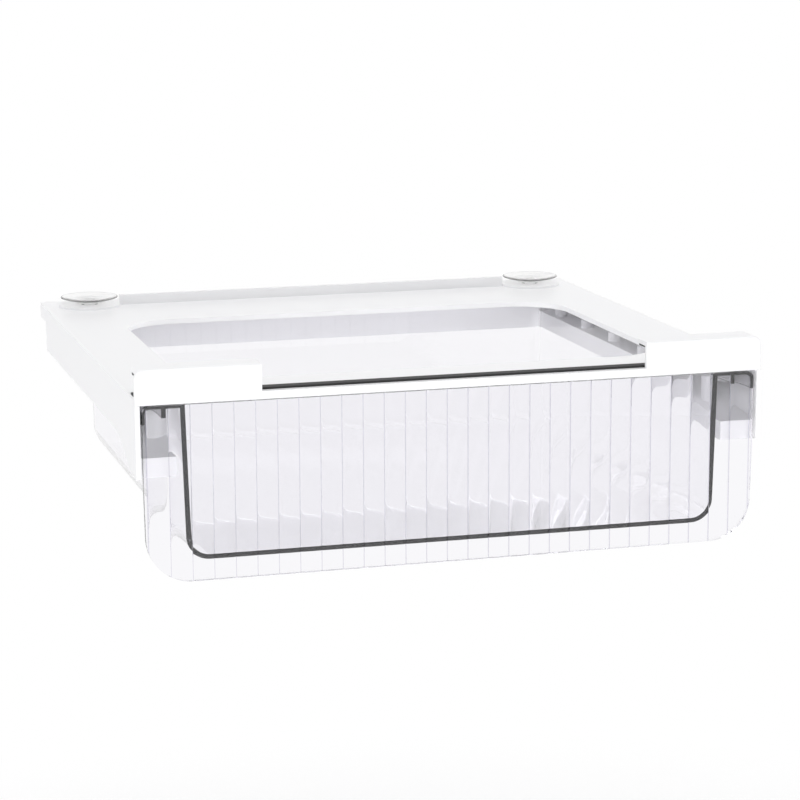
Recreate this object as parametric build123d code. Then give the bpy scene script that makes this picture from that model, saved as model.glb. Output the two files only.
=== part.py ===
from build123d import *
import os

# Pull-out drawer that hangs under a refrigerator shelf. Millimetres.
# +X is to the right, +Y to the back, +Z up. The origin is the middle of the seat strip's top face,
# which meets the underside of the shelf along its front edge.

# ---------------------------------------------------------------- hooks and front bar
frame_width = 300.0            # outside of the side walls, and of the front bar
bar_wall = 2.5                 # thickness of the front bar and of the hooks' front walls
hook_width = 58.0
hook_lip_thickness = 2.2
hook_outer_corner = 7.0        # rounding of a lip's rear corner, seen from above, on the outside
hook_inner_corner = 4.0        # the same, on the side of the middle
hook_end_radius = 4.0          # rounding of a hook's outer top corner, seen from the front
bar_edge_radius = 0.8
slot_height = 8.3              # clear height for the shelf's edge, between strip and pad
slot_depth = 11.5              # clear depth under a lip, behind the pad
pad_thickness = 1.0
pad_end_inset = 0.5            # pad stops this far short of a hook's ends and rear edge
foot_thickness = 1.2           # flange of the front bar that lies on the plate
strip_thickness = 1.0
strip_depth = 6.0

# ---------------------------------------------------------------- top frame
plate_thickness = 2.5
plate_corner_radius = 3.0
drawer_bay_depth = 262.0       # front face of the bar to the rear wall's inner face
rear_wall_thickness = 2.4
rear_overhang = 26.6           # plate behind the rear wall
rear_lip_height = 5.0          # edge that hangs from the plate round its rear corners
rear_lip_thickness = 2.0
side_strip = 31.0              # plate beside the opening
front_strip = 40.0             # front face of the bar to the opening
opening_depth = 173.0
opening_corner_radius = 27.0
rib_height = 5.3
rib_thickness = 2.5
rib_setback = 5.0              # rear wall's back face to the rib's front face

# ---------------------------------------------------------------- suction cups
cup_inset = 24.0               # side of the frame to a cup's axis
cup_setback = 5.6              # rear wall's back face to a cup's axis
cup_rim_radius = 15.0
cup_rim_height = 4.2           # above the boss
cup_rim_thickness = 0.7
cup_foot_radius = 7.0
cup_foot_height = 0.8
cup_waist_radius = 4.6
cup_waist_height = 1.2
cup_hollow_height = 2.3        # lowest point of the cup's hollow, above the boss
cup_neck_radius = 3.0
cup_neck_clearance = 0.2
cup_head_radius = 4.5
cup_head_height = 1.5
cup_boss_radius = 16.5         # round boss on the plate under each cup
cup_boss_height = 1.2

# ---------------------------------------------------------------- side rails
side_wall_thickness = 2.2
side_wall_height = 20.5        # below the plate, behind the sweep
side_wall_tail = 5.0           # beyond the rear wall's back face
ledge_height = 9.0
ledge_width = 16.8
rail_wall = 2.0                # walls of the hollow ledge
sweep_drop = 13.0              # the rail is this much lower at the front
sweep_length = 54.0

# ---------------------------------------------------------------- guide studs and stops
stud_diameter = 7.0
stud_height = 4.6              # above the ledge, behind the sweep
stud_pitch = 42.5
stud_rear_gap = 20.0           # rear wall's inner face to the last stud's axis
stud_front_gap = 8.0           # ledge's front end to the first stud's axis, at least
stud_lane = 5.8                # ledge's inner face to the studs' axes
stud_edge_radius = 0.6
stop_lane = 6.0                # width of the stop block beside the side wall
stop_length = 4.0
drawer_travel = 135.0

# ---------------------------------------------------------------- drawer
panel_recess = 0.4             # bar's front face to the flutes' crests
panel_thickness = 2.4          # behind the grooves between the flutes
panel_height = 81.4
panel_draft = 1.3              # the panel is this much narrower at its bottom, on each side
panel_top_radius = 4.5
panel_bottom_radius = 21.0
flute_pitch = 10.0
flute_depth = 0.7
flute_edge_land = 1.0          # least plain width beside the outermost flutes
tub_wall = 2.2
tub_floor = 2.2
tub_height = 72.2
tub_draft = 1.9
tub_corner_radius = 11.0
tub_rear_radius = 6.0
runner_thickness = 1.8
runner_corner_radius = 4.0     # where the flange turns down into its lip, outside
runner_fillet_radius = 2.2     # the same, inside
runner_rib_thickness = 2.0     # rib under the flange that slides on the studs
tab_length = 6.0
tab_rear_gap = 6.0             # rear end of a runner to its tab
runner_rear_gap = 6.0          # tub's rear face to the runner's rear end

# ---------------------------------------------------------------- clearances
panel_gap = 0.6                # panel to bar and side walls
panel_to_ledge = 0.5
tub_side_gap = 1.8             # tub to ledges
tub_top_gap = 0.6              # tub and runners to plate
tub_rear_gap = 1.5
slide_clearance = 0.3          # runner's rib on the studs, and its tab on the ledge
lip_to_ledge = 2.3             # runner's lip to ledge
runner_side_gap = 0.8          # runner to side wall
stop_clearance = 0.3           # tab to stop block with the drawer fully out
stop_top_gap = 0.4             # stop block to the lip that passes over it

# ---------------------------------------------------------------- places that follow from them
front_y = -(bar_wall + pad_thickness + strip_depth / 2)
bar_back_y = front_y + bar_wall
rear_wall_y = front_y + drawer_bay_depth
rear_wall_back_y = rear_wall_y + rear_wall_thickness
plate_rear_y = rear_wall_back_y + rear_overhang
half_width = frame_width / 2
inner_half = half_width - side_wall_thickness
ledge_inner = inner_half - ledge_width
opening_half = half_width - side_strip
side_tail_y = rear_wall_back_y + side_wall_tail
lip_depth = bar_wall + pad_thickness + slot_depth
foot_depth = pad_thickness + slot_depth

plate_top = -(foot_thickness + strip_thickness)
plate_bottom = plate_top - plate_thickness
lip_bottom = slot_height + pad_thickness
wall_bottom = plate_bottom - side_wall_height
ledge_top = wall_bottom + ledge_height
stud_top = ledge_top + stud_height
runner_rib_bottom = stud_top + slide_clearance
runner_lip_bottom = ledge_top + lip_to_ledge

panel_crest_y = front_y + panel_recess
panel_groove_y = panel_crest_y + flute_depth
panel_back_y = panel_groove_y + panel_thickness
panel_top = plate_bottom - panel_gap
panel_bottom = panel_top - panel_height
panel_half = inner_half - panel_gap
ledge_front_y = panel_back_y + panel_to_ledge
sweep_rear_y = ledge_front_y + sweep_length
stud_rear_y = rear_wall_y - stud_rear_gap
stud_x = ledge_inner + stud_lane

tub_rear_y = rear_wall_y - tub_rear_gap
tub_top = plate_bottom - tub_top_gap
tub_bottom = tub_top - tub_height
tub_half = ledge_inner - tub_side_gap
runner_rear_y = tub_rear_y - runner_rear_gap
runner_outer = inner_half - runner_side_gap
tab_front_y = runner_rear_y - tab_rear_gap - tab_length
stop_rear_y = tab_front_y - drawer_travel - stop_clearance

SIDES = {"left": -1, "right": 1}


def block(x_range, y_range, z_range):
    """A box between two corners."""
    low, high = zip(x_range, y_range, z_range)
    size = [b - a for a, b in zip(low, high)]
    return Pos(*low) * Box(*size, align=(Align.MIN, Align.MIN, Align.MIN))


def on_side(part, side):
    """A right-hand part, or its mirror image for the left side."""
    return part if side > 0 else mirror(part, about=Plane.YZ)


def swept_edge(z_rear, drop):
    """Edge of a rail: low at the ledge's front end, up to its rear height in two tangent arcs."""
    low = (ledge_front_y, z_rear - drop)
    high = (sweep_rear_y, z_rear)
    middle = ((low[0] + high[0]) / 2, (low[1] + high[1]) / 2)
    foot = TangentArc(low, middle, tangent=(1, 0))
    crown = TangentArc(middle, high, tangent=foot % 1)
    return [foot, crown]


def rail_band(y_front, y_rear, z_low, z_high, high_drop, x_range):
    """Slab along a rail whose lower edge is swept, and its upper edge too if high_drop isn't 0."""
    edges = swept_edge(z_low, sweep_drop)
    edges.append(Polyline((sweep_rear_y, z_low), (y_rear, z_low), (y_rear, z_high)))
    if high_drop:
        edges.append(Line((y_rear, z_high), (sweep_rear_y, z_high)))
        edges += swept_edge(z_high, high_drop)
    else:
        edges.append(Line((y_rear, z_high), (ledge_front_y, z_high)))
    low_front = (ledge_front_y, z_low - sweep_drop)
    high_front = (ledge_front_y, z_high - high_drop)
    if y_front < ledge_front_y:
        corners = [(y_front, high_front[1]), (y_front, low_front[1])]
    else:
        corners = []
    edges.append(Polyline(high_front, *corners, low_front))
    profile = make_face(edges)
    return extrude(Plane.YZ.offset(x_range[0]) * profile, x_range[1] - x_range[0])


# ---------------------------------------------------------------- frame pieces
def make_top_frame():
    """Plate with its opening, rear rib, rear wall, rear lip and the cups' bosses."""
    plate = block((-half_width, half_width), (bar_back_y, plate_rear_y), (plate_bottom, plate_top))
    rear_corners = plate.edges().filter_by(Axis.Z).group_by(Axis.Y)[-1]
    plate = fillet(rear_corners, plate_corner_radius)

    opening_front = front_y + front_strip
    opening = Pos(0, opening_front + opening_depth / 2, plate_bottom) * extrude(
        RectangleRounded(2 * opening_half, opening_depth, opening_corner_radius), plate_thickness)

    rib_half = half_width - cup_inset - cup_boss_radius
    rib_y = rear_wall_back_y + rib_setback
    rib = block((-rib_half, rib_half), (rib_y, rib_y + rib_thickness), (plate_top, plate_top + rib_height))
    rear_wall = block((-inner_half, inner_half), (rear_wall_y, rear_wall_back_y),
                      (wall_bottom, plate_bottom))
    lip_z = (plate_bottom - rear_lip_height, plate_bottom)
    rear_lip = block((-half_width, half_width), (side_tail_y, plate_rear_y), lip_z)
    rear_lip = fillet(rear_lip.edges().filter_by(Axis.Z).group_by(Axis.Y)[-1], plate_corner_radius)
    lip_inside = half_width - rear_lip_thickness
    rear_lip -= block((-lip_inside, lip_inside), (side_tail_y, plate_rear_y - rear_lip_thickness), lip_z)

    frame = plate - opening + rib + rear_wall + rear_lip
    for side in SIDES.values():
        centre = Pos(side * (half_width - cup_inset), rear_wall_back_y + cup_setback, plate_top)
        boss = Cylinder(cup_boss_radius, cup_boss_height, align=(Align.CENTER, Align.CENTER, Align.MIN))
        hole = Cylinder(cup_neck_radius + cup_neck_clearance, 2 * (plate_thickness + cup_boss_height))
        frame = frame + centre * boss - centre * hole
    return frame


def lip_plan(inset):
    """A right-hand hook's lip from above, with its rear corners rounded."""
    x_inner = half_width - hook_width + inset
    x_outer = half_width - inset
    y_rear = front_y + lip_depth - inset
    outline = make_face(Polyline((x_inner, front_y), (x_outer, front_y), (x_outer, y_rear),
                                 (x_inner, y_rear), close=True))
    rear = outline.vertices().group_by(Axis.Y)[-1].sort_by(Axis.X)
    outline = fillet(rear[0], hook_inner_corner)
    rear = outline.vertices().group_by(Axis.X)[-1].sort_by(Axis.Y)
    return fillet(rear[-1], hook_outer_corner)


def make_front_bar():
    """Beam across the front, the foot that lies on the plate, and the two hooks."""
    strip_bottom = -strip_thickness
    bar = block((-half_width, half_width), (front_y, bar_back_y), (plate_bottom, strip_bottom))
    bar += block((-half_width, half_width), (bar_back_y, bar_back_y + foot_depth), (plate_top, strip_bottom))
    for side in SIDES.values():
        wall = block((half_width - hook_width, half_width), (front_y, bar_back_y), (strip_bottom, lip_bottom))
        lip = Pos(0, 0, lip_bottom) * extrude(lip_plan(0), hook_lip_thickness)
        bar += on_side(wall + lip, side)
    hook_top = lip_bottom + hook_lip_thickness
    outline = make_face(Polyline((-half_width, plate_bottom), (half_width, plate_bottom),
                                 (half_width, hook_top), (-half_width, hook_top), close=True))
    outline = fillet(outline.vertices().group_by(Axis.Y)[-1], hook_end_radius)
    bar &= extrude(facing_front(front_y + lip_depth) * outline, lip_depth)
    front_top = bar.edges().filter_by(Axis.X).group_by(Axis.Y)[0].group_by(Axis.Z)[-1]
    return fillet(front_top, bar_edge_radius)


def make_seat_strip():
    """Soft strip on the bar's foot, under the shelf's front edge."""
    strip_front_y = bar_back_y + pad_thickness
    return block((-half_width, half_width), (strip_front_y, strip_front_y + strip_depth),
                 (-strip_thickness, 0))


def make_hook_pad(side):
    """Soft liner inside a hook: behind its front wall and under its lip."""
    leg = block((half_width - hook_width + pad_end_inset, half_width - pad_end_inset),
                (bar_back_y, bar_back_y + pad_thickness), (-strip_thickness, lip_bottom))
    under_lip = Pos(0, 0, slot_height) * extrude(lip_plan(pad_end_inset), pad_thickness)
    front_part = block((0, half_width), (front_y, bar_back_y), (slot_height, lip_bottom))
    return on_side(leg + (under_lip - front_part), side)


def make_side_rail(side):
    """Side wall with the hollow ledge that the studs stand on, and the stop block."""
    wall = rail_band(front_y, side_tail_y, wall_bottom, plate_bottom, 0, (inner_half, half_width))
    ledge = rail_band(ledge_front_y, rear_wall_y, wall_bottom, ledge_top, sweep_drop,
                      (ledge_inner, inner_half))
    ledge_rear = rear_wall_y - rail_wall
    hollow = rail_band(ledge_front_y, ledge_rear, wall_bottom - rail_wall, ledge_top - rail_wall,
                       sweep_drop, (ledge_inner + rail_wall, inner_half))
    front_end = block((ledge_inner, inner_half), (ledge_front_y, ledge_front_y + rail_wall),
                      (wall_bottom - sweep_drop, ledge_top - sweep_drop))
    stop = block((inner_half - stop_lane, inner_half), (stop_rear_y - stop_length, stop_rear_y),
                 (ledge_top, runner_lip_bottom - stop_top_gap))
    return on_side(wall + (ledge - hollow) + front_end + stop, side)


def make_guide_studs(side):
    """Studs on the ledge that the runner's rib slides on; the front one reaches down to the sweep."""
    above_ledge = rail_band(ledge_front_y, rear_wall_y, ledge_top, stud_top, 0, (ledge_inner, inner_half))
    height = stud_height + sweep_drop
    count = int((stud_rear_y - ledge_front_y - stud_front_gap) // stud_pitch) + 1
    studs = []
    for index in range(count):
        place = Pos(stud_x, stud_rear_y - index * stud_pitch, stud_top - height / 2)
        stud = (place * Cylinder(stud_diameter / 2, height)) & above_ledge
        rim = stud.edges().filter_by(GeomType.CIRCLE).group_by(Axis.Z)[-1]
        studs.append(on_side(fillet(rim, stud_edge_radius), side))
    return Compound(children=studs)


def make_suction_cup(side):
    """Soft cup, open upwards, with a neck through the plate and a head below it."""
    head_top = -(cup_boss_height + plate_thickness)
    head_bottom = head_top - cup_head_height
    outer = Polyline((0, head_bottom), (cup_head_radius - 1, head_bottom),
                     (cup_head_radius, head_bottom + 0.6 * cup_head_height), (cup_head_radius, head_top),
                     (cup_neck_radius, head_top), (cup_neck_radius, 0), (cup_foot_radius, 0),
                     (cup_foot_radius, cup_foot_height), (cup_waist_radius, cup_waist_height))
    skirt = ThreePointArc(
        (cup_waist_radius, cup_waist_height),
        (0.62 * cup_rim_radius, cup_waist_height + 0.3 * (cup_rim_height - cup_waist_height)),
        (cup_rim_radius, cup_rim_height - cup_rim_thickness))
    rim = Line((cup_rim_radius, cup_rim_height - cup_rim_thickness), (cup_rim_radius, cup_rim_height))
    hollow = ThreePointArc(
        (cup_rim_radius, cup_rim_height),
        (0.6 * cup_rim_radius, cup_hollow_height + 0.3 * (cup_rim_height - cup_hollow_height)),
        (cup_neck_radius, cup_hollow_height))
    middle = Polyline((cup_neck_radius, cup_hollow_height), (0, cup_hollow_height), (0, head_bottom))
    profile = make_face([outer, skirt, rim, hollow, middle])
    cup = revolve(Plane.XZ * profile, Axis.Z)
    place = Pos(half_width - cup_inset, rear_wall_back_y + cup_setback, plate_top + cup_boss_height)
    return on_side(place * cup, side)


# ---------------------------------------------------------------- drawer pieces
def make_drawer_front():
    """Clear front panel: upright flutes on its face, large rounded bottom corners."""
    count = int((2 * (panel_half - flute_edge_land)) // flute_pitch)
    start_x = -count * flute_pitch / 2
    edges = []
    for index in range(count):
        x = start_x + index * flute_pitch
        edges.append(ThreePointArc((x, panel_groove_y), (x + flute_pitch / 2, panel_crest_y),
                                   (x + flute_pitch, panel_groove_y)))
    edges.append(Polyline((-start_x, panel_groove_y), (panel_half, panel_groove_y), (panel_half, panel_back_y),
                          (-panel_half, panel_back_y), (-panel_half, panel_groove_y),
                          (start_x, panel_groove_y)))
    fluted = extrude(Plane.XY.offset(panel_bottom) * make_face(edges), panel_height)

    low_half = panel_half - panel_draft
    outline = make_face(Polyline((-low_half, panel_bottom), (low_half, panel_bottom), (panel_half, panel_top),
                                 (-panel_half, panel_top), close=True))
    outline = fillet(outline.vertices().group_by(Axis.Y)[-1], panel_top_radius)
    outline = fillet(outline.vertices().group_by(Axis.Y)[0], panel_bottom_radius)
    shape = extrude(facing_front(panel_back_y) * outline, panel_back_y - front_y)
    return fluted & shape


def facing_front(y):
    """Upright plane at y that looks to the front, with X to the right and Z up."""
    return Plane(origin=(0, y, 0), x_dir=(1, 0, 0), z_dir=(0, -1, 0))


def tub_block(shrink, floor, rise, front, rear):
    """Tapered block with rounded bottom and rear edges; shrink makes the tub's hollow."""
    top = tub_top + rise
    bottom = tub_bottom + floor
    slope = tub_draft / tub_height
    top_half = tub_half - shrink + slope * rise
    low_half = tub_half - shrink - tub_draft + slope * floor
    section = make_face(Polyline((-low_half, bottom), (low_half, bottom), (top_half, top),
                                 (-top_half, top), close=True))
    section = fillet(section.vertices().group_by(Axis.Y)[0], tub_corner_radius - shrink)
    body = extrude(facing_front(rear) * section, rear - front)
    rear_edges = body.faces().sort_by(Axis.Y)[-1].edges().sort_by(Axis.Z)[:-1]
    return fillet(rear_edges, tub_rear_radius - shrink)


def make_drawer_tub():
    """Clear tub: open at its top, and closed in front by the panel that it is welded to."""
    outside = tub_block(0, 0, 0, panel_back_y, tub_rear_y)
    inside = tub_block(tub_wall, tub_floor, tub_wall, panel_back_y - tub_wall, tub_rear_y - tub_wall)
    return outside - inside


def make_runner(side):
    """Flange along the tub's rim with a rib that rides on the studs, a lip outside them, and a stop tab."""
    under = tub_top - runner_thickness
    lip_inner = runner_outer - runner_thickness
    rib_inner = stud_x - runner_rib_thickness / 2
    rib_outer = stud_x + runner_rib_thickness / 2
    inside_tub = tub_half - tub_draft
    section = make_face(Polyline((inside_tub, tub_top), (runner_outer, tub_top),
                                 (runner_outer, runner_lip_bottom), (lip_inner, runner_lip_bottom),
                                 (lip_inner, under), (rib_outer, under), (rib_outer, runner_rib_bottom),
                                 (rib_inner, runner_rib_bottom), (rib_inner, under), (inside_tub, under),
                                 close=True))
    section = fillet(section.vertices().group_by(Axis.X)[-2].sort_by(Axis.Y)[-1], runner_fillet_radius)
    section = fillet(section.vertices().group_by(Axis.X)[-1].sort_by(Axis.Y)[-1], runner_corner_radius)
    runner = extrude(facing_front(runner_rear_y) * section, runner_rear_y - panel_back_y)
    tab = block((lip_inner, runner_outer), (tab_front_y, tab_front_y + tab_length),
                (ledge_top + slide_clearance, runner_lip_bottom))
    return on_side(runner + tab - tub_block(0, 0, 0, panel_back_y, tub_rear_y), side)


# ---------------------------------------------------------------- output
pieces = {
    "top_frame": make_top_frame(),
    "front_hook_bar": make_front_bar(),
    "seat_strip": make_seat_strip(),
    "drawer_tub": make_drawer_tub(),
    "drawer_front": make_drawer_front(),
}
for name, side in SIDES.items():
    pieces[f"{name}_hook_pad"] = make_hook_pad(side)
    pieces[f"{name}_side_rail"] = make_side_rail(side)
    pieces[f"{name}_guide_studs"] = make_guide_studs(side)
    pieces[f"{name}_suction_cup"] = make_suction_cup(side)
    pieces[f"{name}_runner"] = make_runner(side)

os.makedirs("parts", exist_ok=True)
for name, piece in pieces.items():
    export_step(piece, f"parts/{name}.step")
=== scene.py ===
"""Looks of a pull-out fridge drawer: white frame with hooks, clear fluted drawer, soft cups."""
import logging
import math
from collections.abc import Sequence
from dataclasses import dataclass, replace
from enum import Enum
from typing import Any

import bmesh
import bpy
from mathutils import Matrix, Vector


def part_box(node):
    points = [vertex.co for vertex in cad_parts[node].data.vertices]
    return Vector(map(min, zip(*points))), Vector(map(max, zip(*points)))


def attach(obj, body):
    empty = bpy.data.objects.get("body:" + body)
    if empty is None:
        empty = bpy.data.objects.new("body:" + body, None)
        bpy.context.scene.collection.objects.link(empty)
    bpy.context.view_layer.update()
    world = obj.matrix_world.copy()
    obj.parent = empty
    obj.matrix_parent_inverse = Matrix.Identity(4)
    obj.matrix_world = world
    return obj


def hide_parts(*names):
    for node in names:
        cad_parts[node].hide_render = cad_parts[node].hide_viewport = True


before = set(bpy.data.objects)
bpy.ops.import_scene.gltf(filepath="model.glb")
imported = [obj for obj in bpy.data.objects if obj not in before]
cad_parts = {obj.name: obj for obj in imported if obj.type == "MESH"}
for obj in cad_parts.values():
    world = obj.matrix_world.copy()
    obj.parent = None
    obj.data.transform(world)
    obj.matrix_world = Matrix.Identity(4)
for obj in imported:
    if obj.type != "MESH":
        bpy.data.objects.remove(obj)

MM = 0.001
IMAGE_WIDTH_PX = 800
FLUTE_PITCH = 10.0 * MM
FLUTE_COUNT = 29
PLASTIC_IOR = 1.49
PURE_WHITE = (1, 1, 1, 1)
SEAM_SHADE_DEPTH = 0.12 * MM      # how far behind the panel the painted shade of the seam reaches
CORNER_WELD = 0.002 * MM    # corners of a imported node's triangles that are one point
POINT_WELD = 0.001 * MM     # points of a made mesh that are one

log = logging.getLogger("scene")


class Body(Enum):
    """The two bodies that the slide joins."""

    HANGER = "hanger"
    DRAWER = "drawer"


class Slot(Enum):
    """Material slots of the record."""

    WHITE = "white_plastic"
    CLEAR = "clear_plastic"
    VINYL = "clear_vinyl"
    RUBBER = "black_rubber"


class Side(Enum):
    """The two mirrored sides, by the sign of X."""

    LEFT = -1
    RIGHT = 1

    @property
    def label(self) -> str:
        """The side's name in piece and node names."""
        return self.name.lower()


class Ramp(Enum):
    """How a ramp runs between its two ends."""

    EVEN = "LINEAR"
    SMOOTH = "SMOOTHSTEP"


# ------------------------------------------------------------------------------------------ node trees
class Graph:
    """A node tree with short calls to add, feed and join nodes."""

    def __init__(self, tree: bpy.types.NodeTree) -> None:
        """Takes over an empty or cleared tree."""
        self.tree = tree

    def feed(self, socket: bpy.types.NodeSocket, value: Any) -> None:
        """Links an output to a socket, or sets the socket's own value.

        Args:
            socket: The input to feed.
            value: An output socket, or a plain value.
        """
        if isinstance(value, bpy.types.NodeSocket):
            self.tree.links.new(value, socket)
        else:
            socket.default_value = value

    def add(self, kind: str, inputs: dict[Any, Any] | None = None, **settings: Any) -> bpy.types.Node:
        """Adds a node.

        Args:
            kind: The node's type name.
            inputs: Values or outputs for its inputs, by name or index.
            settings: Properties of the node itself.

        Returns:
            The new node.
        """
        node = self.tree.nodes.new(kind)
        for name, value in settings.items():
            setattr(node, name, value)
        for key, value in (inputs or {}).items():
            self.feed(node.inputs[key], value)
        return node

    def first(self, kind: str) -> bpy.types.Node:
        """The tree's first node of a type, such as OUTPUT_MATERIAL."""
        return next(node for node in self.tree.nodes if node.type == kind)

    def math(self, operation: str, *values: Any) -> bpy.types.NodeSocket:
        """Adds a Math node that is fed with numbers or outputs, and returns its output."""
        return self.add("ShaderNodeMath", dict(enumerate(values)), operation=operation).outputs[0]

    def split(self, vector: bpy.types.NodeSocket) -> Sequence[bpy.types.NodeSocket]:
        """The outputs that hold a vector's X, Y and Z."""
        return self.add("ShaderNodeSeparateXYZ", {0: vector}).outputs

    def on_object(self) -> bpy.types.NodeSocket:
        """The output that holds object coordinates."""
        return self.add("ShaderNodeTexCoord").outputs["Object"]

    def noise(self, where: bpy.types.NodeSocket, per_m: float, detail: float) -> bpy.types.NodeSocket:
        """The output of a noise with so many waves in a metre."""
        return self.add("ShaderNodeTexNoise", {"Vector": where, "Scale": per_m, "Detail": detail}).outputs[0]

    def blend(self, share: bpy.types.NodeSocket, one: Sequence[float],
              other: Sequence[float]) -> bpy.types.NodeSocket:
        """The output that goes from one colour to the other as the share goes from 0 to 1."""
        colours = {0: share, 6: (*one, 1), 7: (*other, 1)}
        return self.add("ShaderNodeMix", colours, data_type="RGBA").outputs[2]

    def bump(self, height: bpy.types.NodeSocket, depth: float, strength: float) -> bpy.types.NodeSocket:
        """The normal of a surface that a height from 0 to 1 roughens to a depth."""
        relief = {"Strength": strength, "Distance": depth, "Height": height}
        return self.add("ShaderNodeBump", relief).outputs[0]

    def ramp(self, value: bpy.types.NodeSocket, span: tuple[float, float], ends: tuple[float, float],
             run: Ramp = Ramp.EVEN) -> bpy.types.NodeSocket:
        """The output that goes between two ends while a value crosses its span."""
        inputs = {0: value, 1: span[0], 2: span[1], 3: ends[0], 4: ends[1]}
        return self.add("ShaderNodeMapRange", inputs, interpolation_type=run.value).outputs[0]


class MeshGraph(Graph):
    """A geometry node tree with named inputs that makes one mesh."""

    def __init__(self, name: str, inputs: dict[str, Any]) -> None:
        """Makes the tree and its interface.

        Args:
            name: The tree's name.
            inputs: Named inputs and their values: float, int or material.
        """
        super().__init__(bpy.data.node_groups.new(name, "GeometryNodeTree"))
        self.values = inputs
        interface = self.tree.interface
        for label, value in inputs.items():
            kind = "NodeSocketMaterial"
            if isinstance(value, int):
                kind = "NodeSocketInt"
            elif isinstance(value, float):
                kind = "NodeSocketFloat"
            interface.new_socket(name=label, in_out="INPUT", socket_type=kind)
        interface.new_socket(name="Geometry", in_out="OUTPUT", socket_type="NodeSocketGeometry")
        self.given = self.add("NodeGroupInput").outputs

    def position(self) -> Sequence[bpy.types.NodeSocket]:
        """The outputs that hold X, Y and Z of each point."""
        return self.split(self.add("GeometryNodeInputPosition").outputs[0])

    def result(self, geometry: bpy.types.NodeSocket, name: str) -> bpy.types.Object:
        """Ends the tree in Realize Instances and Set Material, and turns what it makes into a plain mesh.

        Args:
            geometry: The output that holds the whole shape.
            name: The new piece's name.

        Returns:
            The piece, with no modifier left on it.
        """
        real = self.add("GeometryNodeRealizeInstances", {"Geometry": geometry})
        dressed = self.add("GeometryNodeSetMaterial",
                           {"Geometry": real.outputs[0], "Material": self.given["Material"]})
        self.add("NodeGroupOutput", {"Geometry": dressed.outputs[0]})
        maker = new_object(name + "_maker", bpy.data.meshes.new(name + "_maker"))
        modifier = maker.modifiers.new("make", "NODES")
        modifier.node_group = self.tree
        for item in self.tree.interface.items_tree:
            if item.in_out == "INPUT":
                modifier[item.identifier] = self.values[item.name]
        evaluated = maker.evaluated_get(bpy.context.evaluated_depsgraph_get())
        mesh = bpy.data.meshes.new_from_object(evaluated)
        mesh.name = name
        bpy.data.objects.remove(maker)
        return new_object(name, mesh)


def new_material(name: str) -> tuple[bpy.types.Material, Graph, bpy.types.Node]:
    """Makes a node material.

    Args:
        name: The material's name.

    Returns:
        The material, its graph and its Principled shader.
    """
    material = bpy.data.materials.new(name)
    material.use_nodes = True
    graph = Graph(material.node_tree)
    return material, graph, graph.first("BSDF_PRINCIPLED")


# ------------------------------------------------------------------------------------------ finishes
@dataclass(frozen=True)
class MouldedWhite:
    """Semi-gloss white plastic, with the faint mottle and orange peel of a moulding."""

    slot: Slot = Slot.WHITE
    colour: tuple[float, float, float] = (0.87, 0.87, 0.88)
    mottle: tuple[float, float, float] = (0.845, 0.845, 0.86)
    mottle_per_m: float = 18.0
    mottle_detail: float = 3.0
    roughness: tuple[float, float] = (0.30, 0.40)
    peel_per_m: float = 900.0
    peel_detail: float = 2.0
    peel_depth: float = 0.015 * MM
    peel_strength: float = 0.35

    def build(self) -> bpy.types.Material:
        """Makes the material.

        Returns:
            The material, named for its slot.
        """
        material, graph, shader = new_material(self.slot.value)
        where = graph.on_object()
        cloud = graph.noise(where, self.mottle_per_m, self.mottle_detail)
        peel = graph.noise(where, self.peel_per_m, self.peel_detail)
        graph.feed(shader.inputs["Base Color"], graph.blend(cloud, self.mottle, self.colour))
        graph.feed(shader.inputs["Roughness"], graph.ramp(cloud, (0.0, 1.0), self.roughness))
        graph.feed(shader.inputs["Normal"], graph.bump(peel, self.peel_depth, self.peel_strength))
        shader.inputs["IOR"].default_value = PLASTIC_IOR
        return material


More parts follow.
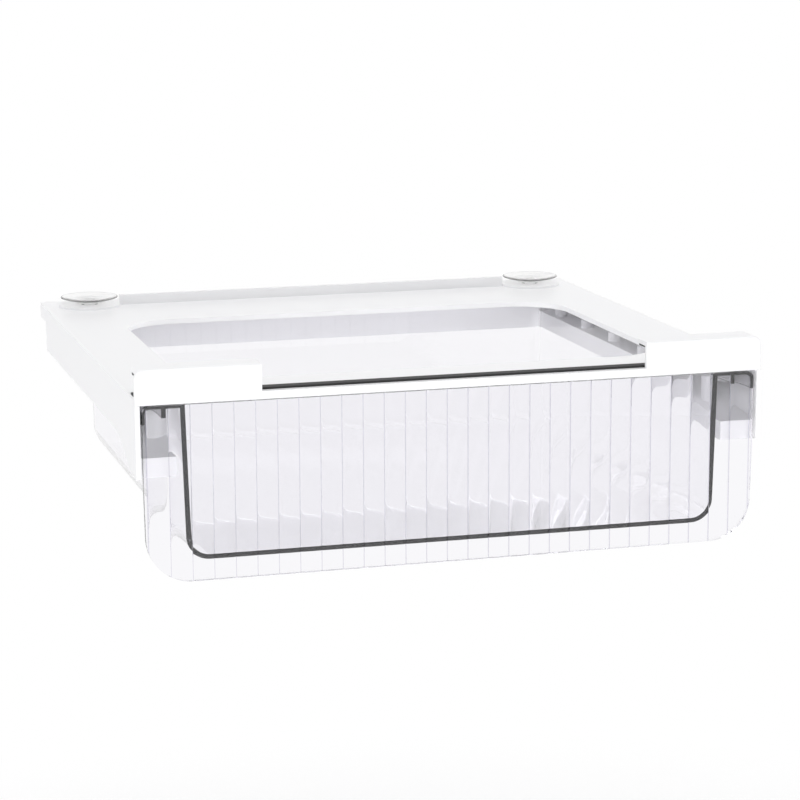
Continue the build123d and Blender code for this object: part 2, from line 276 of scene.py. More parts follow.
@dataclass(frozen=True)
class ClearMoulding:
    """Clear moulded plastic or vinyl that lets lamps through, with a faint waviness."""

    slot: Slot
    tint: tuple[float, float, float]
    passed_light: float
    ior: float
    roughness: tuple[float, float]
    wave_per_m: float = 60.0
    wave_detail: float = 1.0
    wave_depth: float = 0.02 * MM
    wave_strength: float = 0.3
    # painted shade: a darker tint 0.25 mm to each side of each groove, for the dark lines that the flutes
    # show
    groove_pitch: float = 0.0
    groove_offset: float = 0.0
    groove_half_width: float = 0.25 * MM
    groove_painted_shade: tuple[float, float, float] = (0.58, 0.56, 0.68)
    # painted shade: a darker tint at a piece's front end, for the dark line where it meets the panel
    seam_shade_y: float | None = None
    seam_painted_shade: tuple[float, float, float] = (0.38, 0.365, 0.44)

    def build(self) -> bpy.types.Material:
        """Makes the material.

        Returns:
            The material, named for its slot.
        """
        material, graph, shader = new_material(self.slot.value)
        where = graph.on_object()
        wave = graph.noise(where, self.wave_per_m, self.wave_detail)
        graph.feed(shader.inputs["Base Color"], self.tint_with_painted_shade(graph, where))
        graph.feed(shader.inputs["Roughness"], graph.ramp(wave, (0.0, 1.0), self.roughness))
        graph.feed(shader.inputs["Normal"], graph.bump(wave, self.wave_depth, self.wave_strength))
        shader.inputs["Transmission Weight"].default_value = 1.0
        shader.inputs["IOR"].default_value = self.ior
        passed = graph.add("ShaderNodeBsdfTransparent",
                           {"Color": (self.passed_light, self.passed_light, self.passed_light, 1)})
        lamp_ray = graph.add("ShaderNodeLightPath").outputs["Is Shadow Ray"]
        mix = graph.add("ShaderNodeMixShader", {0: lamp_ray, 1: shader.outputs[0], 2: passed.outputs[0]})
        graph.feed(graph.first("OUTPUT_MATERIAL").inputs["Surface"], mix.outputs[0])
        return material

    def tint_with_painted_shade(self, graph: Graph, where: bpy.types.NodeSocket) -> Any:
        """The tint, with painted shade in the grooves between flutes or at the front end that meets the
        panel, if it has them.

        Args:
            graph: The material's graph.
            where: The output that holds object coordinates.

        Returns:
            A colour, or the output that holds it.
        """
        if not self.groove_pitch and self.seam_shade_y is None:
            return (*self.tint, 1)
        place = graph.split(where)
        if self.groove_pitch:
            from_groove = graph.math("PINGPONG", graph.math("ADD", place[0], self.groove_offset),
                                     self.groove_pitch / 2)
            near = graph.ramp(from_groove, (0.0, self.groove_half_width), (1.0, 0.0))
            return graph.blend(near, self.tint, self.groove_painted_shade)
        near = graph.math("LESS_THAN", place[1], self.seam_shade_y)
        return graph.blend(near, self.tint, self.seam_painted_shade)


@dataclass(frozen=True)
class MattRubber:
    """Soft black rubber with a fine grain."""

    slot: Slot = Slot.RUBBER
    colour: tuple[float, float, float] = (0.018, 0.018, 0.019)
    worn: tuple[float, float, float] = (0.035, 0.035, 0.036)
    roughness: float = 0.6
    grain_per_m: float = 1500.0
    grain_detail: float = 3.0
    grain_depth: float = 0.03 * MM
    grain_strength: float = 0.5

    def build(self) -> bpy.types.Material:
        """Makes the material.

        Returns:
            The material, named for its slot.
        """
        material, graph, shader = new_material(self.slot.value)
        grain = graph.noise(graph.on_object(), self.grain_per_m, self.grain_detail)
        graph.feed(shader.inputs["Base Color"], graph.blend(grain, self.colour, self.worn))
        graph.feed(shader.inputs["Normal"], graph.bump(grain, self.grain_depth, self.grain_strength))
        shader.inputs["Roughness"].default_value = self.roughness
        return material


@dataclass(frozen=True)
class Finishes:
    """The object's materials."""

    white: bpy.types.Material
    fluted: bpy.types.Material
    welded: bpy.types.Material
    vinyl: bpy.types.Material
    rubber: bpy.types.Material

    @classmethod
    def build(cls) -> "Finishes":
        """Makes them all.

        Returns:
            The finishes; the fluted and the welded one are the same plastic with painted shade lines: in the
            grooves, and at the front ends that meet the panel.
        """
        clear = ClearMoulding(slot=Slot.CLEAR, tint=(0.94, 0.935, 0.958), passed_light=0.985,
                              ior=PLASTIC_IOR, roughness=(0.0, 0.02))
        # the fluted panel's plastic, with painted shade along each groove
        fluted = replace(clear, groove_pitch=FLUTE_PITCH, groove_offset=FLUTE_COUNT * FLUTE_PITCH / 2)
        # the tub's and runners' plastic, with painted shade at their front ends
        welded = replace(clear, seam_shade_y=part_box("drawer_front")[1].y + SEAM_SHADE_DEPTH)
        vinyl = ClearMoulding(slot=Slot.VINYL, tint=(0.99, 0.99, 0.985), passed_light=0.97,
                              ior=1.45, roughness=(0.0, 0.05))
        return cls(white=MouldedWhite().build(), fluted=fluted.build(), welded=welded.build(),
                   vinyl=vinyl.build(), rubber=MattRubber().build())


# ------------------------------------------------------------------------------------------ mesh work
def new_object(name: str, mesh: bpy.types.Mesh) -> bpy.types.Object:
    """Links a mesh into the scene as an object at the origin.

    Args:
        name: The object's name.
        mesh: Its mesh.

    Returns:
        The object.
    """
    piece = bpy.data.objects.new(name, mesh)
    bpy.context.scene.collection.objects.link(piece)
    return piece


def from_bmesh(name: str, shape: bmesh.types.BMesh) -> bpy.types.Object:
    """Turns a bmesh into an object and frees it.

    Args:
        name: The object's name.
        shape: The bmesh.

    Returns:
        The object.
    """
    mesh = bpy.data.meshes.new(name)
    shape.to_mesh(mesh)
    shape.free()
    return new_object(name, mesh)


def welded_copy(node: str, name: str, flat_deg: float = 0.2) -> bpy.types.Object:
    """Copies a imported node's mesh with its triangles joined and its flat faces made whole.

    Args:
        node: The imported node.
        name: The copy's name.
        flat_deg: Neighbouring faces that turn by less than this become one.

    Returns:
        The copy.
    """
    shape = bmesh.new()
    shape.from_mesh(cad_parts[node].data)
    bmesh.ops.remove_doubles(shape, verts=shape.verts, dist=CORNER_WELD)
    bmesh.ops.dissolve_limit(shape, angle_limit=math.radians(flat_deg), verts=shape.verts,
                             edges=shape.edges)
    bmesh.ops.recalc_face_normals(shape, faces=shape.faces)
    return from_bmesh(name, shape)


def apply_modifiers(piece: bpy.types.Object) -> None:
    """Replaces a piece's mesh by what its modifiers make, and removes them.

    Args:
        piece: The piece.
    """
    evaluated = piece.evaluated_get(bpy.context.evaluated_depsgraph_get())
    mesh = bpy.data.meshes.new_from_object(evaluated)
    piece.modifiers.clear()
    piece.data = mesh


def soften(piece: bpy.types.Object, radius: float, steps: int = 3, sharp_deg: float = 35) -> None:
    """Rounds a piece's sharp edges, as a mould does.

    Args:
        piece: The piece.
        radius: The rounding's width in metres.
        steps: How many facets a rounding has.
        sharp_deg: Edges that turn by more than this are rounded.
    """
    bevel = piece.modifiers.new("soften", "BEVEL")
    bevel.width = radius
    bevel.segments = steps
    bevel.limit_method = "ANGLE"
    bevel.angle_limit = math.radians(sharp_deg)
    bevel.use_clamp_overlap = True
    bevel.miter_outer = "MITER_ARC"
    apply_modifiers(piece)
    shade(piece)


def shade(piece: bpy.types.Object, sharp_deg: float = 32) -> None:
    """Shades a piece smooth with its sharp edges kept, and keeps its broad faces flat.

    Args:
        piece: The piece.
        sharp_deg: Edges that turn by more than this stay sharp.
    """
    piece.data.shade_smooth()
    piece.data.set_sharp_from_angle(angle=math.radians(sharp_deg))
    weigh = piece.modifiers.new("broad faces first", "WEIGHTED_NORMAL")
    weigh.mode = "FACE_AREA"
    weigh.weight = 100
    weigh.keep_sharp = True
    apply_modifiers(piece)


def lathe(name: str, profile: list[tuple[float, float]], centre: Vector, steps: int) -> bpy.types.Object:
    """Turns a profile about an upright axis.

    Args:
        name: The piece's name.
        profile: Radius and height above the centre, from the bottom of the axis round to its top.
        centre: Where the axis stands.
        steps: How many facets go round.

    Returns:
        The turned piece.
    """
    shape = bmesh.new()
    rings = []
    for index in range(steps):
        turn = 2 * math.pi * index / steps
        rings.append([shape.verts.new(centre + Vector((r * math.cos(turn), r * math.sin(turn), z)))
                      for r, z in profile])
    for one, other in zip(rings, rings[1:] + rings[:1]):
        bridge(shape, one, other)
    bmesh.ops.remove_doubles(shape, verts=shape.verts, dist=POINT_WELD)
    bmesh.ops.recalc_face_normals(shape, faces=shape.faces)
    return from_bmesh(name, shape)


def bridge(shape: bmesh.types.BMesh, one: list[bmesh.types.BMVert],
           other: list[bmesh.types.BMVert]) -> None:
    """Joins two rows of points with four-sided faces."""
    for index in range(len(one) - 1):
        shape.faces.new((one[index], other[index], other[index + 1], one[index + 1]))


def arc(centre: tuple[float, float], radius: float, start_deg: float, end_deg: float,
        steps: int) -> list[tuple[float, float]]:
    """Points along an arc, both ends included."""
    turns = [math.radians(start_deg + (end_deg - start_deg) * i / steps) for i in range(steps + 1)]
    return [(centre[0] + radius * math.cos(t), centre[1] + radius * math.sin(t)) for t in turns]


def finish_piece(piece: bpy.types.Object, body: Body, slot: Slot, material: bpy.types.Material,
                 *nodes: str) -> bpy.types.Object:
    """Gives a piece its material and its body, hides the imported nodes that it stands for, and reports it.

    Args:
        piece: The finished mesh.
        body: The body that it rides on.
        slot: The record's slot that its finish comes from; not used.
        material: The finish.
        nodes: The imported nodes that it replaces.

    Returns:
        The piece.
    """
    piece.data.materials.clear()
    piece.data.materials.append(material)
    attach(piece, body.value)
    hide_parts(*nodes)
    log.info("%s: %d faces, rides on %s", piece.name, len(piece.data.polygons), body.value)
    return piece


# ------------------------------------------------------------------------------------------ hanger
@dataclass
class Hanger:
    """White frame: plate, side rails and the studs on their ledges."""

    finishes: Finishes
    plate_edge: float = 0.5 * MM
    rail_edge: float = 0.35 * MM
    stud_count: int = 6
    stud_radius: float = 3.5 * MM
    stud_height: float = 4.6 * MM
    stud_edge: float = 0.6 * MM
    stud_edge_steps: int = 3
    stud_sides: int = 40
    stud_sunk: float = 0.1 * MM
    sweep_drop: float = 13.0 * MM
    sweep_length: float = 54.0 * MM
    ledge_setback: float = 4.0 * MM    # from the wall's front end to the ledge's
    first_stud_reach: float = 2.5      # in radii from the row's front end: past the first stud only
    same_height: float = 0.01 * MM     # a point no higher than this above the foot is on it

    def build(self) -> None:
        """Makes every piece of the frame."""
        white = self.finishes.white
        plate = welded_copy("top_frame", "plate_with_opening")
        soften(plate, self.plate_edge)
        finish_piece(plate, Body.HANGER, Slot.WHITE, white, "top_frame")
        for side in Side:
            node = f"{side.label}_side_rail"
            rail = welded_copy(node, f"{side.label}_wall_and_ledge")
            soften(rail, self.rail_edge)
            finish_piece(rail, Body.HANGER, Slot.WHITE, white, node)
            self.studs(side)

    def ledge_below(self, from_rear_end: float) -> float:
        """How far the ledge's swept top lies below its level part.

        Args:
            from_rear_end: Distance forward from the sweep's rear end.

        Returns:
            The depth in metres.
        """
        radius = (self.sweep_length ** 2 + self.sweep_drop ** 2) / (4 * self.sweep_drop)
        if from_rear_end < self.sweep_length / 2:
            return radius - math.sqrt(radius ** 2 - from_rear_end ** 2)
        from_front_end = self.sweep_length - from_rear_end
        return self.sweep_drop - radius + math.sqrt(radius ** 2 - from_front_end ** 2)

    def studs(self, side: Side) -> None:
        """Makes a row of studs with Geometry Nodes; the front one reaches down to the sweep.

        Args:
            side: The side that the row stands on.
        """
        node = f"{side.label}_guide_studs"
        low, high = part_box(node)
        pitch = (high.y - low.y - 2 * self.stud_radius) / (self.stud_count - 1)
        sweep_rear_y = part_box(f"{side.label}_side_rail")[0].y + self.sweep_length + self.ledge_setback
        front_drop = self.ledge_below(sweep_rear_y - low.y)
        rear_drop = self.ledge_below(sweep_rear_y - low.y - 2 * self.stud_radius)
        graph = MeshGraph(f"{side.label}_stud_row", {
            "Stud Count": self.stud_count, "Pitch": pitch, "Radius": self.stud_radius,
            "Height": self.stud_height + self.stud_sunk, "Edge": self.stud_edge, "First Y": low.y,
            "Front Drop": front_drop, "Front Slope": (front_drop - rear_drop) / (2 * self.stud_radius),
            "Material": self.finishes.white})
        given = graph.given
        foot = Vector(((low.x + high.x) / 2, low.y + self.stud_radius,
                       high.z - self.stud_height - self.stud_sunk))
        step = graph.add("ShaderNodeCombineXYZ", {1: given["Pitch"]})
        row = graph.add("GeometryNodeMeshLine", {"Count": given["Stud Count"]},
                        mode="OFFSET", count_mode="TOTAL")
        graph.feed(row.inputs["Start Location"], foot)
        graph.feed(row.inputs["Offset"], step.outputs[0])
        stud = graph.add("GeometryNodeInstanceOnPoints",
                         {"Points": row.outputs[0], "Instance": self.stud_shape(graph)})
        real = graph.add("GeometryNodeRealizeInstances", {"Geometry": stud.outputs[0]})
        where = graph.position()
        into_row = graph.math("SUBTRACT", where[1], given["First Y"])
        first_end = graph.math("MULTIPLY", given["Radius"], self.first_stud_reach)
        in_first = graph.math("LESS_THAN", into_row, first_end)
        at_foot = graph.math("LESS_THAN", where[2], foot.z + self.same_height)
        slope = graph.math("MULTIPLY", into_row, given["Front Slope"])
        reach = graph.add("ShaderNodeCombineXYZ", {2: graph.math("SUBTRACT", slope, given["Front Drop"])})
        longer = graph.add("GeometryNodeSetPosition", {
            "Geometry": real.outputs[0], "Selection": graph.math("MULTIPLY", in_first, at_foot),
            "Offset": reach.outputs[0]})
        piece = graph.result(longer.outputs[0], f"{side.label}_stud_row")
        shade(piece)
        finish_piece(piece, Body.HANGER, Slot.WHITE, self.finishes.white, node)

    def stud_shape(self, graph: MeshGraph) -> bpy.types.NodeSocket:
        """One stud that stands on its origin: a straight shank with a rounded upper rim.

        Args:
            graph: The tree that it is added to.

        Returns:
            The output that holds its mesh.
        """
        given = graph.given
        shank = graph.add("GeometryNodeMeshCone", {
            "Vertices": self.stud_sides, "Radius Top": given["Radius"], "Radius Bottom": given["Radius"],
            "Depth": graph.math("SUBTRACT", given["Height"], given["Edge"])})
        mesh, top = shank.outputs["Mesh"], shank.outputs["Top"]
        turns = [math.radians(90 * step / self.stud_edge_steps) for step in range(self.stud_edge_steps + 1)]
        for before, after in zip(turns, turns[1:]):
            rise = graph.math("MULTIPLY", given["Edge"], math.sin(after) - math.sin(before))
            raised = graph.add("GeometryNodeExtrudeMesh",
                               {"Mesh": mesh, "Selection": top, "Offset Scale": rise})
            old, new = (graph.math("SUBTRACT", given["Radius"],
                                   graph.math("MULTIPLY", given["Edge"], 1 - math.cos(turn)))
                        for turn in (before, after))
            top = raised.outputs["Top"]
            drawn_in = graph.add("GeometryNodeScaleElements", {
                "Geometry": raised.outputs["Mesh"], "Selection": top,
                "Scale": graph.math("DIVIDE", new, old)})
            mesh = drawn_in.outputs[0]
        return mesh


@dataclass
class FrontHookBar:
    """White beam with its two hooks, the black strip behind it and the black liners in the hooks; their
    black is partly rubber parts and partly painted shade for the dark gap lines along the beam and in the
    hooks.
    """

    finishes: Finishes
    edge: float = 0.5 * MM
    soft_edge: float = 0.2 * MM

    def build(self) -> None:
        """Makes the bar, the strip and both liners."""
        bar = welded_copy("front_hook_bar", "beam_with_hooks")
        soften(bar, self.edge)
        finish_piece(bar, Body.HANGER, Slot.WHITE, self.finishes.white, "front_hook_bar")
        # partly painted shade: the black strip and liners stand in for the dark gap lines as well as being
        # rubber parts
        strip = welded_copy("seat_strip", "shelf_edge_strip")
        soften(strip, self.soft_edge)
        finish_piece(strip, Body.HANGER, Slot.RUBBER, self.finishes.rubber, "seat_strip")
        for side in Side:
            node = f"{side.label}_hook_pad"
            pad = welded_copy(node, f"{side.label}_hook_liner")
            soften(pad, self.soft_edge)
            finish_piece(pad, Body.HANGER, Slot.RUBBER, self.finishes.rubber, node)


@dataclass
class SuctionCups:
    """Two clear soft cups that point up, each with a neck through the plate and a head under it."""

    finishes: Finishes
    boss_to_plate: float = 3.7 * MM
    head_height: float = 1.5 * MM
    head_radius: float = 4.5 * MM
    head_edge: float = 1.0 * MM
    neck_radius: float = 3.0 * MM
    foot_radius: float = 7.0 * MM
    foot_height: float = 0.8 * MM
    waist_radius: float = 4.6 * MM
    waist_rise: float = 0.4 * MM
    hollow_height: float = 2.3 * MM
    wall: float = 0.7 * MM
    step_radius: float = 11.0 * MM
    step_depth: float = 0.12 * MM
    flare_power: float = 1.5
    facets: int = 96
    curve_steps: int = 14
    rim_steps: int = 6
    sharp_deg: float = 45

    def build(self) -> None:
        """Makes both cups."""
        for side in Side:
            node = f"{side.label}_suction_cup"
            low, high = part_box(node)
            centre = Vector(((low.x + high.x) / 2, (low.y + high.y) / 2, 0))
            outline = self.profile(low.z, high.z, (high.x - low.x) / 2)
            cup = lathe(f"{side.label}_clear_cup", outline, centre, self.facets)
            shade(cup, self.sharp_deg)
            finish_piece(cup, Body.HANGER, Slot.VINYL, self.finishes.vinyl, node)

    def profile(self, bottom: float, top: float, rim: float) -> list[tuple[float, float]]:
        """A cup's outline from the bottom of its head, out round its rim and in to its middle.

        Args:
            bottom: Height of the head's underside.
            top: Height of the rim.
            rim: Radius of the rim.

        Returns:
            Radius and height of each point.
        """
        head_top = bottom + self.head_height
        boss = head_top + self.boss_to_plate
        waist = boss + self.foot_height + self.waist_rise
        points = [(0.0, bottom), (self.head_radius - self.head_edge, bottom),
                  (self.head_radius, bottom + self.head_edge), (self.head_radius, head_top),
                  (self.neck_radius, head_top), (self.neck_radius, boss), (self.foot_radius, boss),
                  (self.foot_radius, boss + self.foot_height), (self.waist_radius, waist)]
        under_rim = top - self.wall
        points += self.flare((self.waist_radius, waist), (rim, under_rim))
        points += arc((rim, top - self.wall / 2), self.wall / 2, -90, 90, self.rim_steps)[1:-1]
        hollow = boss + self.hollow_height
        inside = self.flare((self.neck_radius, hollow), (rim, top))
        points += inside[::-1]
        points.append((0.0, hollow))
        return points

    def flare(self, low: tuple[float, float], high: tuple[float, float]) -> list[tuple[float, float]]:
        """A skirt's curve from its waist to its rim, with the shallow step that moulded cups have.

        Args:
            low: Radius and height of its lower end.
            high: Radius and height of its upper end.

        Returns:
            Radius and height of each point.
        """
        points = []
        for index in range(self.curve_steps + 1):
            share = index / self.curve_steps
            radius = low[0] + (high[0] - low[0]) * share
            height = low[1] + (high[1] - low[1]) * share ** self.flare_power
            if index < self.curve_steps and radius > self.step_radius:
                height -= self.step_depth
            points.append((radius, height))
        return points


# ------------------------------------------------------------------------------------------ drawer
@dataclass
class Drawer:
    """Clear drawer: fluted front panel, tub and the two runners."""

    finishes: Finishes
    flute_pitch: float = FLUTE_PITCH
    flute_count: int = FLUTE_COUNT
    flute_depth: float = 0.7 * MM
    flute_fullness: float = 0.5
    steps_per_flute: int = 14
    land_steps: int = 4
    panel_draft: float = 1.3 * MM
    panel_top_radius: float = 4.5 * MM
    panel_bottom_radius: float = 21.0 * MM
    corner_steps: int = 28
    block_reach: float = 1.1           # the uncut block's height over the panel's
    block_thickness: float = 1.0 * MM
    cut_margin: float = 1.0 * MM
    panel_sharp_deg: float = 25
    weld_gap: float = 0.06 * MM
    tub_edge: float = 0.45 * MM
    tub_sharp_deg: float = 60
    runner_edge: float = 0.25 * MM

    def build(self) -> None:
        """Makes the panel, the tub and the runners."""
        # the tub and runners take the plastic with painted shade at their front ends
        welded = self.finishes.welded
        finish_piece(self.fluted_panel(), Body.DRAWER, Slot.CLEAR, self.finishes.fluted, "drawer_front")
        finish_piece(self.tub(), Body.DRAWER, Slot.CLEAR, welded, "drawer_tub")
        for side in Side:
            node = f"{side.label}_runner"
            runner = welded_copy(node, f"{side.label}_slide_flange")
            self.part_from_panel(runner)
            soften(runner, self.runner_edge)
            finish_piece(runner, Body.DRAWER, Slot.CLEAR, welded, node)

    def part_from_panel(self, piece: bpy.types.Object) -> None:
        """Leaves a hairline between a piece's front end and the panel, so that both faces stay clean.

        Args:
            piece: The piece that is welded to the panel.
        """
        weld_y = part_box("drawer_front")[1].y
        for vertex in piece.data.vertices:
            if vertex.co.y < weld_y + self.weld_gap:
                vertex.co.y = weld_y + self.weld_gap

    def tub(self) -> bpy.types.Object:
        """The open tub, with a softened rim.

        Returns:
            The tub.
        """
        tub = welded_copy("drawer_tub", "clear_tub")
        self.part_from_panel(tub)
        soften(tub, self.tub_edge, sharp_deg=self.tub_sharp_deg)
        return tub

    def fluted_panel(self) -> bpy.types.Object:
        """The panel: a fluted block cut to the panel's outline.

        Returns:
            The panel.
        """
        panel = self.fluted_block()
        outline = self.outline_prism()
        cut = panel.modifiers.new("outline", "BOOLEAN")
        cut.operation = "INTERSECT"
        cut.solver = "EXACT"
        cut.object = outline
        apply_modifiers(panel)
        bpy.data.objects.remove(outline)
        shade(panel, self.panel_sharp_deg)
        return panel

    def fluted_block(self) -> bpy.types.Object:
        """A block with upright flutes on its front, wider than the panel, made with Geometry Nodes.

        Returns:
            The block.
        """
        low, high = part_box("drawer_front")
        graph = MeshGraph("fluted_panel", {
            "Flute Count": self.flute_count, "Flute Pitch": self.flute_pitch,
            "Flute Depth": self.flute_depth, "Fullness": self.flute_fullness,
            "Steps": self.steps_per_flute, "Land Steps": self.land_steps,
            "Height": self.block_reach * (high.z - low.z), "Crest Y": low.y, "Back Y": high.y,
            "Middle Z": (low.z + high.z) / 2, "Material": self.finishes.fluted})
        given = graph.given
        fluted_steps = graph.math("MULTIPLY", given["Flute Count"], given["Steps"])
        steps = graph.math("ADD", fluted_steps, graph.math("MULTIPLY", given["Land Steps"], 2.0))
        step_width = graph.math("DIVIDE", given["Flute Pitch"], given["Steps"])
        sheet = graph.add("GeometryNodeMeshGrid", {
            "Size X": graph.math("MULTIPLY", steps, step_width), "Size Y": given["Height"],
            "Vertices X": graph.math("ADD", steps, 1.0), "Vertices Y": 2})
        flat = graph.position()
        upright = graph.add("ShaderNodeCombineXYZ", {
            0: self.gathered_x(graph, flat[0]), 1: given["Back Y"],
            2: graph.math("ADD", flat[1], given["Middle Z"])})
        back = graph.add("GeometryNodeSetPosition",
                         {"Geometry": sheet.outputs[0], "Position": upright.outputs[0]})
        block = graph.add("GeometryNodeExtrudeMesh", {
            "Mesh": back.outputs[0], "Offset Scale": self.block_thickness, "Individual": False})
        where = graph.position()
        front = graph.add("ShaderNodeCombineXYZ",
                          {0: where[0], 1: self.flute_y(graph, where[0]), 2: where[2]})
        fluted = graph.add("GeometryNodeSetPosition", {
            "Geometry": block.outputs["Mesh"], "Selection": block.outputs["Top"],
            "Position": front.outputs[0]})
        closing = graph.add("GeometryNodeFlipFaces", {"Mesh": back.outputs[0]})
        both = graph.add("GeometryNodeJoinGeometry")
        graph.feed(both.inputs[0], fluted.outputs[0])
        graph.feed(both.inputs[0], closing.outputs[0])
        closed = graph.add("GeometryNodeMergeByDistance",
                           {"Geometry": both.outputs[0], "Distance": POINT_WELD})
        return graph.result(closed.outputs[0], "fluted_panel")

    def from_row_end(self, graph: MeshGraph, x: bpy.types.NodeSocket) -> bpy.types.NodeSocket:
        """The output that holds how far a point lies from the left end of the row of flutes."""
        half_pitch = graph.math("MULTIPLY", graph.given["Flute Pitch"], 0.5)
        return graph.math("ADD", x, graph.math("MULTIPLY", graph.given["Flute Count"], half_pitch))

    def from_groove(self, graph: MeshGraph, x: bpy.types.NodeSocket) -> bpy.types.NodeSocket:
        """How far a point lies from its nearest groove: 0 in the groove and 1 on the crest.

        Args:
            graph: The tree that it is added to.
            x: The X of a point.

        Returns:
            The output that holds that share.
        """
        half_pitch = graph.math("MULTIPLY", graph.given["Flute Pitch"], 0.5)
        bounced = graph.math("PINGPONG", self.from_row_end(graph, x), half_pitch)
        return graph.math("DIVIDE", bounced, half_pitch)

    def gathered_x(self, graph: MeshGraph, x: bpy.types.NodeSocket) -> bpy.types.NodeSocket:
        """Moves the sheet's columns towards the grooves, where the face curves most.

        Args:
            graph: The tree that it is added to.
            x: The X of an evenly spaced column.

        Returns:
            The output that holds its new X.
        """
        pitch = graph.given["Flute Pitch"]
        half_pitch = graph.math("MULTIPLY", pitch, 0.5)
        share = self.from_groove(graph, x)
        move = graph.math("SUBTRACT", graph.math("POWER", share, 2.0), share)
        along = graph.math("FRACT", graph.math("DIVIDE", self.from_row_end(graph, x), pitch))
        past_crest = graph.math("GREATER_THAN", along, 0.5)
        way = graph.math("SUBTRACT", 1.0, graph.math("MULTIPLY", past_crest, 2.0))
        return graph.math("ADD", x, graph.math("MULTIPLY", graph.math("MULTIPLY", move, way), half_pitch))

    def flute_y(self, graph: MeshGraph, x: bpy.types.NodeSocket) -> bpy.types.NodeSocket:
        """The front face's Y at each X: a flat ellipse between two grooves, and flat beside the last ones.

        Args:
            graph: The tree that it is added to.
            x: The X of a point.

        Returns:
            The output that holds its Y.
        """
        given = graph.given
        row_length = graph.math("MULTIPLY", given["Flute Count"], given["Flute Pitch"])
        fluted_half = graph.math("MULTIPLY", row_length, 0.5)
        share = self.from_groove(graph, x)
        parabola = graph.math("MULTIPLY", share, graph.math("SUBTRACT", 2.0, share))
        crown = graph.math("POWER", parabola, given["Fullness"])
        in_flutes = graph.math("LESS_THAN", graph.math("ABSOLUTE", x), fluted_half)
        height = graph.math("MULTIPLY", graph.math("MULTIPLY", crown, in_flutes), given["Flute Depth"])
        groove_y = graph.math("ADD", given["Crest Y"], given["Flute Depth"])
        return graph.math("SUBTRACT", groove_y, height)

    def outline_prism(self) -> bpy.types.Object:
        """A prism through the panel, with the panel's outline: drafted sides and rounded corners.

        Returns:
            The prism.
        """
        low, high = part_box("drawer_front")
        lean = math.degrees(math.atan2(self.panel_draft, high.z - low.z))
        top_centre = high.x - self.panel_top_radius
        top_z = high.z - self.panel_top_radius
        low_half = high.x - self.panel_draft
        drawn_in = math.tan(math.radians(lean)) * self.panel_bottom_radius
        bottom_centre = low_half - self.panel_bottom_radius + drawn_in
        bottom_z = low.z + self.panel_bottom_radius
        right = arc((bottom_centre, bottom_z), self.panel_bottom_radius, -90, -lean, self.corner_steps)
        right += arc((top_centre, top_z), self.panel_top_radius, -lean, 90, self.corner_steps // 2)
        outline = right + [(-x, z) for x, z in reversed(right)]
        shape = bmesh.new()
        ends = [[shape.verts.new((x, y, z)) for x, z in outline]
                for y in (low.y - self.cut_margin, high.y + self.cut_margin)]
        bridge(shape, ends[0] + ends[0][:1], ends[1] + ends[1][:1])
        shape.faces.new(ends[0])
        shape.faces.new(ends[1])
        bmesh.ops.recalc_face_normals(shape, faces=shape.faces)
        return from_bmesh("panel_outline", shape)


# ------------------------------------------------------------------------------------------ studio
@dataclass(frozen=True)
class Lamp:
    """A soft rectangular lamp that faces the object."""

    name: str
    place: tuple[float, float, float]
    size: tuple[float, float]
    watts: float


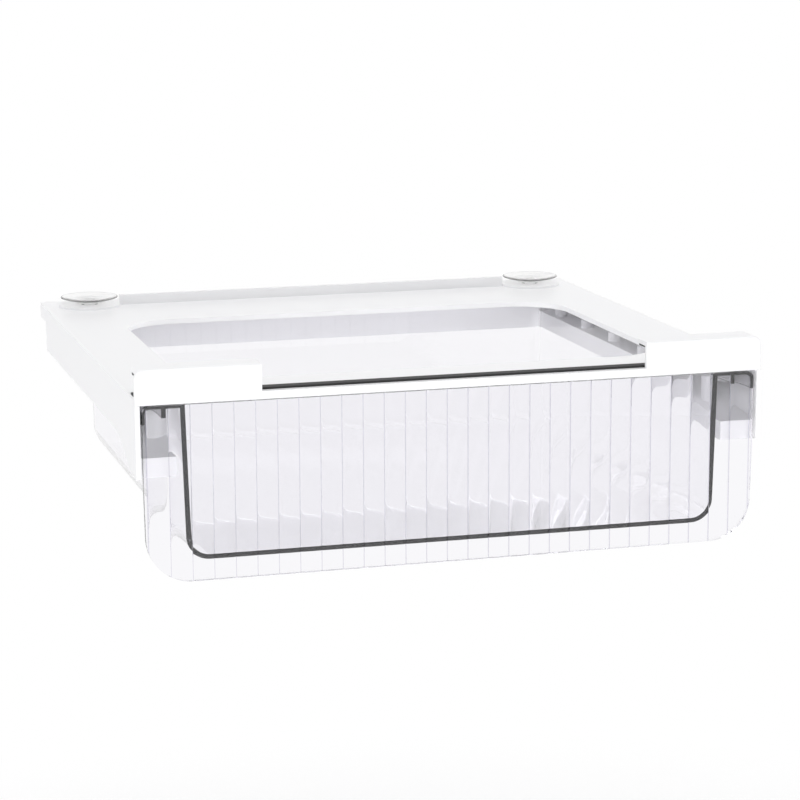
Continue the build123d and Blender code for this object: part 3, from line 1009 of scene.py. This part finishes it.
@dataclass
class Studio:
    """Camera, soft lamps, white surroundings and the pale floor."""

    focal_px: float = 2602.4
    yaw_deg: float = 15.889
    pitch_deg: float = 11.229
    roll_deg: float = -0.265
    camera_m: tuple[float, float, float] = (-0.34622, -1.12487, 0.22197)
    sensor_mm: float = 36.0
    floor_z: float = -0.42
    floor_size: float = 60.0
    floor_colour: tuple[float, float, float] = (0.88, 0.88, 0.885)
    floor_roughness: float = 0.8
    shadow_radius: tuple[float, float] = (0.45, 0.75)
    fill: float = 0.60
    through_clear: float = 2.4
    through_clear_span: tuple[float, float] = (0.25, 0.90)
    ceiling: float = 0.45
    ceiling_span: tuple[float, float] = (0.25, 0.85)
    camera_side: float = 0.30
    camera_side_span: tuple[float, float] = (0.1, -0.7)
    lamp_aim: tuple[float, float, float] = (0.0, 0.13, -0.03)
    lamps: tuple[Lamp, ...] = (
        Lamp("front_low", (-0.35, -2.2, -0.14), (2.6, 0.5), 21.5),
        Lamp("left_high", (-1.8, -0.3, 0.5), (1.4, 1.0), 6.0),
        Lamp("right_high", (1.9, 0.1, 0.5), (1.4, 1.0), 7.0),
        Lamp("overhead", (0.1, 0.1, 1.9), (1.6, 1.6), 15.0),
        Lamp("behind", (0.3, 2.3, 0.3), (2.0, 0.8), 14.0),
        Lamp("below", (0.0, 0.13, -0.40), (0.5, 0.5), 4.0),
    )

    def build(self) -> None:
        """Makes the whole studio."""
        scene = bpy.context.scene
        scene.view_settings.view_transform = "Standard"
        self.camera(scene)
        self.surroundings(scene)
        self.floor()
        for lamp in self.lamps:
            self.hang(lamp)

    def camera(self, scene: bpy.types.Scene) -> None:
        """Sets the camera that was fitted to the photograph's edges.

        Args:
            scene: The scene that it films.
        """
        yaw, pitch, roll = (math.radians(a) for a in (self.yaw_deg, self.pitch_deg, self.roll_deg))
        level = Vector((math.sin(yaw), math.cos(yaw), 0))
        across = Vector((math.cos(yaw), -math.sin(yaw), 0))
        ahead = level * math.cos(pitch) - Vector((0, 0, math.sin(pitch)))
        above = Vector((0, 0, math.cos(pitch))) + level * math.sin(pitch)
        right = across * math.cos(roll) + above * math.sin(roll)
        up = above * math.cos(roll) - across * math.sin(roll)
        data = bpy.data.cameras.new("camera")
        data.sensor_width = self.sensor_mm
        data.lens = self.focal_px / IMAGE_WIDTH_PX * self.sensor_mm
        holder = bpy.data.objects.new("camera", data)
        turned = Matrix((right, up, -ahead)).transposed().to_4x4()
        holder.matrix_world = Matrix.Translation(self.camera_m) @ turned
        scene.collection.objects.link(holder)
        scene.camera = holder

    def seen_directly(self, graph: Graph) -> bpy.types.NodeSocket:
        """1 for camera, glossy and transmission rays, and 0 for the rays that light the object.

        Args:
            graph: The tree that it is added to.

        Returns:
            The output that holds it.
        """
        path = graph.add("ShaderNodeLightPath").outputs
        seen = graph.math("MAXIMUM", path["Is Camera Ray"], path["Is Glossy Ray"])
        return graph.math("MAXIMUM", seen, path["Is Transmission Ray"])

    def surroundings(self, scene: bpy.types.Scene) -> None:
        """White background, and a fill light that is stronger through the clear pieces.

        Args:
            scene: The scene that they surround.
        """
        world = bpy.data.worlds.new("surroundings")
        scene.world = world
        world.use_nodes = True
        world.node_tree.nodes.clear()
        graph = Graph(world.node_tree)
        way = graph.split(graph.add("ShaderNodeTexCoord").outputs["Generated"])
        path = graph.add("ShaderNodeLightPath").outputs
        above = graph.ramp(way[2], self.ceiling_span, (1.0, self.ceiling), Ramp.SMOOTH)
        in_front = graph.ramp(way[1], self.camera_side_span, (1.0, self.camera_side), Ramp.SMOOTH)
        mirrored = graph.math("MULTIPLY", above, in_front)
        level = graph.math("MAXIMUM", mirrored, graph.math("SUBTRACT", 1.0, path["Is Glossy Ray"]))
        shown = graph.add("ShaderNodeBackground", {"Color": PURE_WHITE, "Strength": level})
        sideways = graph.ramp(way[2], self.through_clear_span, (1.0, 0.0), Ramp.SMOOTH)
        let_in = graph.math("MULTIPLY", path["Is Transmission Ray"], sideways)
        gain = graph.math("MULTIPLY", let_in, self.through_clear - self.fill)
        light = graph.add("ShaderNodeBackground",
                          {"Color": PURE_WHITE, "Strength": graph.math("ADD", gain, self.fill)})
        not_bounced = graph.math("LESS_THAN", path["Diffuse Depth"], 0.5)
        share = graph.math("MULTIPLY", self.seen_directly(graph), not_bounced)
        mix = graph.add("ShaderNodeMixShader", {0: share, 1: light.outputs[0], 2: shown.outputs[0]})
        graph.add("ShaderNodeOutputWorld", {0: mix.outputs[0]})

    def floor(self) -> None:
        """A pale floor under the object: it keeps the shadow nearby and runs into the white further out."""
        shape = bmesh.new()
        bmesh.ops.create_grid(shape, x_segments=1, y_segments=1, size=self.floor_size / 2,
                              matrix=Matrix.Translation((0, 0, self.floor_z)))
        floor = from_bmesh("floor", shape)
        material, graph, shader = new_material("floor")
        flat = graph.add("ShaderNodeVectorMath", {0: graph.on_object(), 1: (1, 1, 0)}, operation="MULTIPLY")
        reach = graph.add("ShaderNodeVectorMath", {0: flat.outputs[0]}, operation="LENGTH")
        far = graph.ramp(reach.outputs["Value"], self.shadow_radius, (0.0, 1.0), Ramp.SMOOTH)
        shader.inputs["Base Color"].default_value = (*self.floor_colour, 1)
        shader.inputs["Roughness"].default_value = self.floor_roughness
        white = graph.add("ShaderNodeEmission", {"Color": PURE_WHITE, "Strength": 1.0})
        share = graph.math("MULTIPLY", far, self.seen_directly(graph))
        mix = graph.add("ShaderNodeMixShader", {0: share, 1: shader.outputs[0], 2: white.outputs[0]})
        graph.feed(graph.first("OUTPUT_MATERIAL").inputs["Surface"], mix.outputs[0])
        floor.data.materials.append(material)

    def hang(self, lamp: Lamp) -> None:
        """Hangs a lamp and turns it to the object; its light is seen, and the lamp isn't.

        Args:
            lamp: The lamp.
        """
        data = bpy.data.lights.new(lamp.name, "AREA")
        data.shape = "RECTANGLE"
        data.size, data.size_y = lamp.size
        data.energy = lamp.watts
        holder = bpy.data.objects.new(lamp.name, data)
        aim = Vector(self.lamp_aim) - Vector(lamp.place)
        turned = aim.to_track_quat("-Z", "Y").to_matrix().to_4x4()
        holder.matrix_world = Matrix.Translation(lamp.place) @ turned
        holder.visible_camera = False
        holder.visible_glossy = False
        holder.visible_transmission = False
        bpy.context.scene.collection.objects.link(holder)


def main() -> None:
    """Builds the classes in order."""
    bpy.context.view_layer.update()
    finishes = Finishes.build()
    Studio().build()
    for assembly in (Hanger(finishes), FrontHookBar(finishes), SuctionCups(finishes), Drawer(finishes)):
        assembly.build()


if __name__ == "__main__":
    logging.basicConfig(level=logging.INFO, format="%(name)s %(message)s")
    main()
